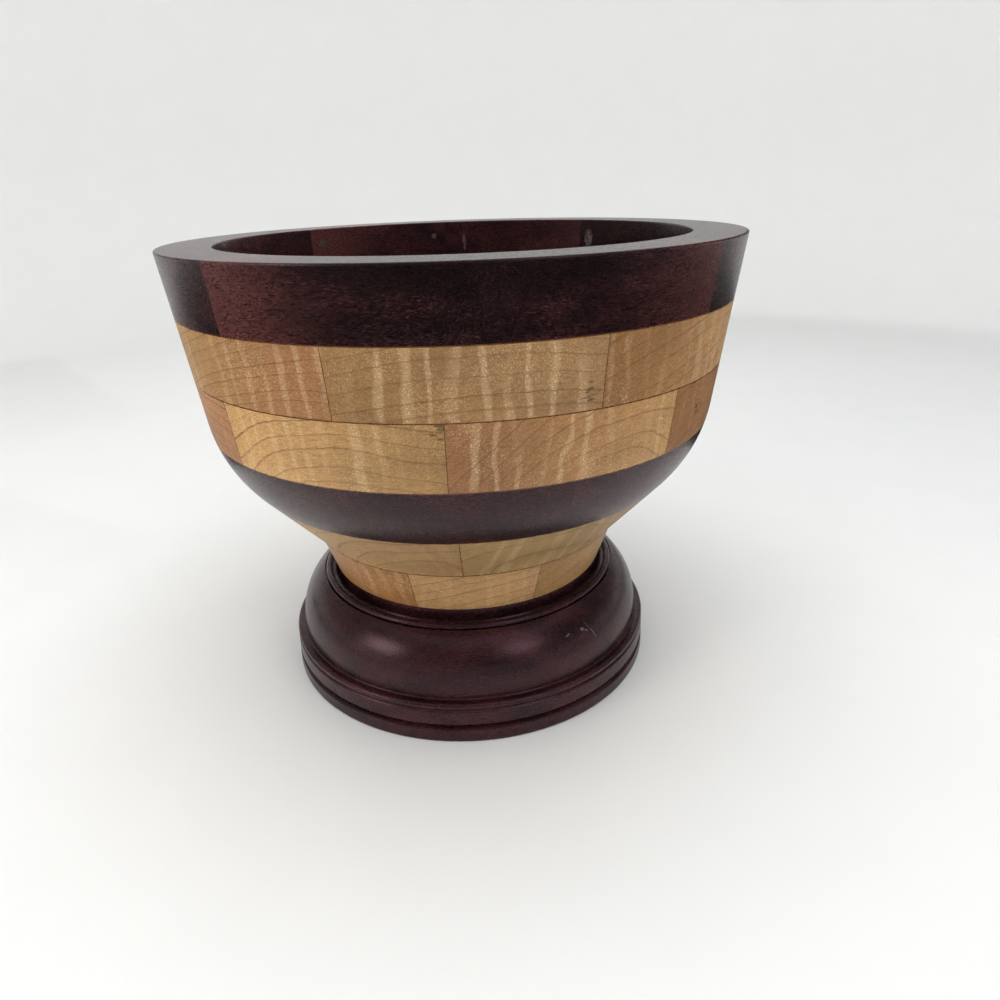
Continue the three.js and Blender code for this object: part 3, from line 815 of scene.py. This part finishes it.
# Lower maple course
# Eight mitred maple boards, duller and greyer than the others, glued on staggered by half a board
# and turned with them to one face.
course("lower_maple_course", "lower_maple_segment", 4, -2, maple, [
    (0x96764b, 0x977b4f, 0.6, 4, 2.6, 0.4),
    (0xa17c4e, 0x9b784a, 0.4, -5, 2.8, 0.3),
    (0x9b784a, 0xa27e51, -0.4, 6, 2.4, 0.4),
    (0xa27e51, 0x9d7a4c, 0.8, 3, 2.6, 0.2),
    (0x9d7a4c, 0xa38052, 0.3, -3, 3.0, 0.5),
    (0xa38052, 0x9e7a4c, 0.6, 4, 2.6, 0.3),
    (0x9e7a4c, 0xa07c50, 0.5, 5, 2.8, 0.3),
    (0xb08d5e, 0x97754c, 0.5, 10, 2.4, 0.2),
])


# Dark band
# Eight mitred boards of the dark hardwood at the bowl's shoulder, their mitres closed so tight
# that the lacquer hides them.
course("dark_band_course", "dark_band_segment", 3, 20, purpleheart, [
    # Each figure sets a painted redder sheen towards one end of its board.
    (0xfff2f4, 0xfff0f0, 0.4, 2, 2.0, -0.3),
    (0xf4e6ea, 0xfff0f0, 0.2, -2, 2.0, 0.2),
    (0xfff0ee, 0xf0e4e6, -0.3, 3, 2.0, 0.4),
    (0xf0e0e8, 0xfff0f0, 0.5, 1, 2.0, -0.3),
    (0xfff4f4, 0xf0e6e6, 0.3, -3, 2.0, 0.3),
    (0xf6eaec, 0xfff0f0, 0.4, 2, 2.0, 0.2),
    (0xc8bcc0, 0xb8acac, 0.2, -1, 2.0, -0.2),
    (0xb0a6a8, 0xb0a4a6, 0.5, 2, 2.0, 0.1),
])


# Middle maple course
# Eight mitred maple boards, glued on top of the dark band.
# They are cut so that their growth lines arch over the turned face, and two have mineral marks.
course("middle_maple_course", "middle_maple_segment", 2, -3, maple, [
    (0x8c5e36, 0xb58853, 1.3, 17, 2.1, 0.7),
    (0x956439, 0x9c6e4a, 0.5, 8, 2.6, 0.3, -18, 98, 4),
    (0xab804c, 0xa37545, 0.6, -7, 2.8, 0.4),
    (0xb08854, 0xa97f4a, 1.0, 5, 3.2, 0.5),
    (0xa67643, 0xae8450, 0.4, -4, 2.6, 0.6),
    (0xae8652, 0xb08854, 0.9, 6, 3.0, 0.3),
    (0xb5865f, 0xac7a53, 0.5, 4, 2.8, 0.2),
    (0xc89a61, 0x987343, 0.8, 7, 2.8, 0.6, 32, 105, 4),
])


# Upper maple course
# Eight mitred maple boards, the most figured of the bowl, glued on staggered by half a board.
# Their growth lines run flat, and one has mineral marks.
course("upper_maple_course", "upper_maple_segment", 1, 23.5, maple, [
    (0x8c5f31, 0xbb9060, 0.4, 10, 3.4, 0.5),
    (0xac824e, 0xa67a47, 0.5, -5, 3.0, 0.5),
    (0xb08652, 0xa9804c, 0.3, 4, 3.2, 0.7),
    (0xa67a47, 0xae8450, 0.6, 3, 2.8, 0.5),
    (0xae8450, 0xb28a54, 0.4, -3, 3.0, 0.6),
    (0xb28a54, 0xa87c49, 0.7, 5, 3.4, 0.4),
    (0xb18853, 0x96663b, 0.3, 12, 3.0, 0.6),
    (0x936c3e, 0x987247, 0.4, 2, 3.8, 0.7, 30, 111, 4),
])


# Rim course
# The top ring: eight mitred boards of the dark hardwood.
# Its top is turned to a broad flat lip, with its arrises eased by sanding.
course("rim_course", "rim_segment", 0, 3, purpleheart, [
    # The first and eighth boards meet at the front. The dark far tint of the eighth and the last three
    # numbers of both paint a dark reflection over the rim's top there. Each figure sets a painted redder
    # sheen towards one end of its board.
    (0xe0d0d4, 0xe4c8c8, 0.3, 2, 2.0, -0.75, -24, 147, 14),
    (0xa8a0a4, 0xc0b8b8, 0.2, -2, 2.0, 0.1),
    (0x302a2a, 0x302a2a, -0.3, 3, 1.0, 0.0),
    (0xfff4ff, 0xfff4ff, 0.5, 1, 1.6, 0.45),
    (0xffffff, 0xfff8ff, 0.3, -3, 1.6, -0.85),
    (0xffffff, 0xffffff, 0.4, 2, 1.8, -0.6),
    (0xf4e6e0, 0xecdcd6, 0.2, -1, 2.0, 0.2),
    (0xfff0ec, 0xa89c9c, 0.5, 2, 2.0, 0.9, 20, 147, 14),
])


# Pale patches on the rim's inside
# Thin pale patches on the rim's inside, most of them by its mitres.
# They stand a little proud of its face.
PATCH_PROUD = 0.05
PATCH_CORNERS = 18
PATCH_LEAST_REACH = 0.6        # how near its middle a patch's ragged edge may come, as a share
PATCH_SEED = 7
RIM_INSIDE_PALE_PATCHES = (                # azimuth, height, half width, half height, lean: degrees and millimetres
    (-135.9, 139.2, 2.2, 1.9, 0),
    (177.1, 136.9, 0.9, 5.2, 0),
    (-173.2, 139.0, 1.2, 1.5, 0),
    (134.9, 137.5, 2.4, 4.0, 0),
    (-91.5, 142.6, 3.0, 1.6, 0),
)


def rim_inside(height):
    """Radius of the rim's inner face at a height."""
    share = (rim.y - height) / (rim.y - inner_shoulder.y)
    return rim.x - LIP_WIDTH + (inner_shoulder.x - rim.x + LIP_WIDTH) * share


def thin_patches(name, patches, face_radius, outwards, paint):
    """Thin uneven patches that follow a turned face and stand a little proud of it."""
    chance = random.Random(PATCH_SEED)
    mesh = bpy.data.meshes.new(name)
    shaper = bmesh.new()
    for azimuth, middle, half_width, half_height, lean in patches:
        corners = []
        for number in range(PATCH_CORNERS):
            turn = 2 * math.pi * number / PATCH_CORNERS
            reach = chance.uniform(PATCH_LEAST_REACH, 1.0)
            corner = Vector((half_width * math.cos(turn), half_height * math.sin(turn))) * reach
            corners.append(Matrix.Rotation(math.radians(lean), 2) @ corner)
        layers = []
        for proud in (-PATCH_PROUD, PATCH_PROUD):
            layer = []
            for corner, share in [*((c, 1) for c in corners), (Vector((0, 0)), 2)]:
                radius = face_radius(middle + corner.y) + outwards * proud * share
                angle = math.radians(azimuth) + corner.x / radius
                spot = Vector((radius * math.sin(angle), -radius * math.cos(angle), middle + corner.y))
                layer.append(shaper.verts.new(spot * MM))
            layers.append(layer)
        back, front = layers
        for number in range(PATCH_CORNERS):
            after = (number + 1) % PATCH_CORNERS
            shaper.faces.new((front[number], front[after], front[-1]))
            shaper.faces.new((back[after], back[number], back[-1]))
            shaper.faces.new((back[number], back[after], front[after], front[number]))
    finish_mesh(shaper, mesh)
    mesh.materials.append(paint)
    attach(placed(name, mesh), "root")


pale_patch_paint = glue_material("pale_patch_paint", 0x33292b, 0x4a3d40, 0xffffff)
thin_patches("rim_inner_squeezed_glue", RIM_INSIDE_PALE_PATCHES, rim_inside, -1, pale_patch_paint)


# Dome scuffs
# Shallow scratches and knocks from use on the pedestal's dome, filled with pale polish or dark wax.
POLISH_SCUFFS = (
    (37.1, 25.2, 1.0, 0.6, 0),
    (38.6, 24.4, 0.7, 0.3, -30),
    (41.0, 22.9, 0.16, 2.1, 24),
    (31.3, 25.4, 1.3, 0.14, 12),
    (39.5, 25.6, 0.12, 1.5, 32),
)
WAX_SPOTS = (
    (-54.3, 26.1, 0.9, 0.5, 20),
    (-51.1, 25.6, 0.5, 0.7, 0),
)


def dome_outside(height):
    """Radius of the dome's outer face at a height."""
    over = height - PLATE_HEIGHT - DOME_BASE
    return DOME_RADIUS - dome_round + math.sqrt(dome_round * dome_round - over * over)


dried_polish = glue_material("dried_polish", 0x4e4042, 0x7a696b, 0xffffff)
dark_wax = glue_material("dark_wax", 0x080405, 0x0e0708, 0xffffff)
thin_patches("dome_scuffs", POLISH_SCUFFS, dome_outside, 1, dried_polish)
thin_patches("dome_wax_spots", WAX_SPOTS, dome_outside, 1, dark_wax)


# Studio
# A pale floor that sweeps up all round into a pale wall, and soft lamps. None of it is part of the bowl.
SWEEP_RADIUS = 900.0
SWEEP_ROUND = 250.0
SWEEP_HEIGHT = 900.0
SWEEP_STEPS = 96
SWEEP_ARC_SKIP = 4             # every fourth point of its arc is enough
SWEEP_MERGE_DISTANCE = 0.01
SIDE_LAMP = 300.0
FLAGGED_BOARDS = range(3, 7)
SIDE_LAMP_AIM = (0, 0, 40)


def plain_material(name, colour, roughness):
    """Matt paint with a faint grain in its colour, for the floor and wall."""
    material, tree = new_material(name)
    place = add(tree, "ShaderNodeTexCoord").outputs["Object"]
    mottle = add(tree, "ShaderNodeTexNoise", {"Vector": place, "Scale": 30.0, "Detail": 3.0})
    shade = add(tree, "ShaderNodeMapRange", {0: mottle, 1: 0.3, 2: 0.7, 3: 0.985, 4: 1.0})
    paint = add(tree, "ShaderNodeMix", {0: 1.0, 6: linear(colour), 7: shade}, **TONED).outputs[2]
    surface = add(tree, "ShaderNodeBsdfPrincipled", {"Base Color": paint, "Roughness": roughness})
    add(tree, "ShaderNodeOutputMaterial", {"Surface": surface})
    return material


sweep_mesh = bpy.data.meshes.new("studio_sweep")
shaper = bmesh.new()
profile = [Vector((0, 0))]
profile += arc((SWEEP_RADIUS - SWEEP_ROUND, SWEEP_ROUND), SWEEP_ROUND, -90, 0)[::SWEEP_ARC_SKIP]
profile.append(Vector((SWEEP_RADIUS, SWEEP_HEIGHT)))
spots = [shaper.verts.new((p.x * MM, 0.0, p.y * MM)) for p in profile]
edges = [shaper.edges.new(pair) for pair in zip(spots, spots[1:])]
bmesh.ops.spin(
    shaper, geom=spots + edges, cent=(0, 0, 0), axis=(0, 0, 1), angle=2 * math.pi, steps=SWEEP_STEPS
)
bmesh.ops.remove_doubles(shaper, verts=shaper.verts, dist=SWEEP_MERGE_DISTANCE * MM)
for face in shaper.faces:
    face.smooth = True
finish_mesh(shaper, sweep_mesh)
sweep_mesh.materials.append(plain_material("studio_pale_paint", 0xe9eae9, 0.6))
placed("studio_sweep", sweep_mesh)


def lamp(name, place, target, width, depth, power, colour):
    """A soft rectangular lamp that faces a point, in millimetres."""
    light = bpy.data.lights.new(name, "AREA")
    light.shape = "RECTANGLE"
    light.size = width * MM
    light.size_y = depth * MM
    light.energy = power
    light.color = linear(colour)[:3]
    holder = placed(name, light)
    holder.location = Vector(place) * MM
    holder.rotation_mode = "QUATERNION"
    holder.rotation_quaternion = (Vector(target) - Vector(place)).to_track_quat("-Z", "Y")
    return holder


overhead = lamp("lamp_overhead", (0, -60, 880), (0, 0, 0), 1000, 900, 8.2, 0xffffff)
overhead.visible_glossy = False
lamp_left = lamp("lamp_left", (-714, -421, 378), SIDE_LAMP_AIM, SIDE_LAMP, SIDE_LAMP, 1.6, 0xfff8f2)
lamp_right = lamp("lamp_right", (422, -635, 503), SIDE_LAMP_AIM, SIDE_LAMP, SIDE_LAMP, 0.78, 0xf6f9ff)

# Flags keep the two side lamps off the far inside of the rim
flagged = bpy.data.collections.new("out_of_the_side_lamps")
for number in FLAGGED_BOARDS:
    flagged.objects.link(bpy.data.objects[f"rim_course_board_{number}"])
for held in flagged.collection_objects:
    held.light_linking.link_state = "EXCLUDE"
for side_lamp in (lamp_left, lamp_right):
    side_lamp.light_linking.receiver_collection = flagged

# Cloths round the bowl that only its gloss sees: black in front, lighter beside and above, a pale ceiling
CLOTH_STEPS = 32
CLOTH_END = 880.0
BLACK_FLOOR_START = 185.0
BLACK_FLOOR_LEFT_END = -122
BLACK_FLOOR_RIGHT_END = 160
BLACK_WALL_END = 66
BLACK_WALL_TOP = 260.0
SIDE_WALL_RADIUS = 885.0
LEFT_FLOOR_START = 400.0
LEFT_END = -142
RIGHT_END = 152
CEILING = 905.0
AIR_STRENGTH = 0.12
black_cloth = plain_material("studio_black_cloth", 0x0c0b0b, 0.9)
dark_cloth = plain_material("studio_dark_cloth", 0x7c7070, 0.9)
grey_cloth = plain_material("studio_grey_cloth", 0xaaa09e, 0.9)
glow, glow_tree = new_material("studio_ceiling_glow")
shine = add(glow_tree, "ShaderNodeEmission", {"Color": linear(0xf2eef0), "Strength": 0.95})
add(glow_tree, "ShaderNodeOutputMaterial", {"Surface": shine})


def cloth(name, paint, first, second, start, end):
    """A cloth bent round the bowl, out of the camera's sight, between two edges and two angles from -Y."""
    mesh = bpy.data.meshes.new(name)
    shaper = bmesh.new()
    begin = math.radians(start)
    ends = []
    for reach, height in (first, second):
        across = reach * math.sin(begin)
        depth = -reach * math.cos(begin)
        ends.append(shaper.verts.new(Vector((across, depth, height)) * MM))
    edge = shaper.edges.new(ends)
    bmesh.ops.spin(
        shaper, geom=[*ends, edge], cent=(0, 0, 0), axis=(0, 0, 1),
        angle=math.radians(end - start), steps=CLOTH_STEPS,
    )
    finish_mesh(shaper, mesh)
    mesh.materials.append(paint)
    hung = placed(name, mesh)
    hung.visible_camera = False
    hung.visible_diffuse = False
    hung.visible_shadow = False


CLOTHS = (                     # name, paint, two edges (radius, height), start and end in degrees
    ("black_floor_cloth", black_cloth, (BLACK_FLOOR_START, 4), (CLOTH_END, 4),
     BLACK_FLOOR_LEFT_END, BLACK_FLOOR_RIGHT_END),
    ("black_wall_cloth", black_cloth, (CLOTH_END, 0), (CLOTH_END, BLACK_WALL_TOP),
     -BLACK_WALL_END, BLACK_WALL_END),
    ("high_wall_cloth", dark_cloth, (CLOTH_END, BLACK_WALL_TOP), (CLOTH_END, SWEEP_HEIGHT),
     -BLACK_WALL_END, BLACK_WALL_END),
    ("left_floor_cloth", grey_cloth, (LEFT_FLOOR_START, 2), (CLOTH_END, 2), LEFT_END, 0),
    ("left_wall_cloth", grey_cloth, (SIDE_WALL_RADIUS, 0), (SIDE_WALL_RADIUS, SWEEP_HEIGHT), LEFT_END, 0),
    ("right_wall_cloth", dark_cloth, (SIDE_WALL_RADIUS, 0), (SIDE_WALL_RADIUS, SWEEP_HEIGHT), 0, RIGHT_END),
    ("ceiling_cloth", glow, (1, CEILING), (SIDE_WALL_RADIUS, CEILING), -180, 180),
)
for row in CLOTHS:
    cloth(*row)

world = bpy.data.worlds.new("studio_air")
bpy.context.scene.world = world
world.use_nodes = True
air = world.node_tree.nodes["Background"].inputs
air["Color"].default_value = linear(0xe8ebee)
air["Strength"].default_value = AIR_STRENGTH


# Camera
# It looks slightly down over the front of the rim, from close by, as the photograph does.
LENS = 27.5
SENSOR = 36.0
CAMERA_DISTANCE = 253.6
CAMERA_HEIGHT = 160.5
PITCH = 15.452
YAW = 2.177
ROLL = -1.879
CENTRE_X = 489.7               # where the lens's axis meets the picture, in pixels of 1000
CENTRE_Y = 392.4
PICTURE = 1000
NEAREST_SEEN = 5

camera_data = bpy.data.cameras.new("camera")
camera_data.lens = LENS
camera_data.sensor_width = SENSOR
camera_data.shift_x = 0.5 - CENTRE_X / PICTURE
camera_data.shift_y = CENTRE_Y / PICTURE - 0.5
camera_data.clip_start = NEAREST_SEEN * MM
camera = placed("camera", camera_data)
facing = Matrix.Rotation(math.radians(-YAW), 4, "Z") @ Matrix.Rotation(math.radians(90 - PITCH), 4, "X")
camera.matrix_world = (
    Matrix.Translation(Vector((0, -CAMERA_DISTANCE, CAMERA_HEIGHT)) * MM)
    @ facing
    @ Matrix.Rotation(math.radians(ROLL), 4, "Z")
)
bpy.context.scene.camera = camera
bpy.context.scene.view_settings.view_transform = "Standard"
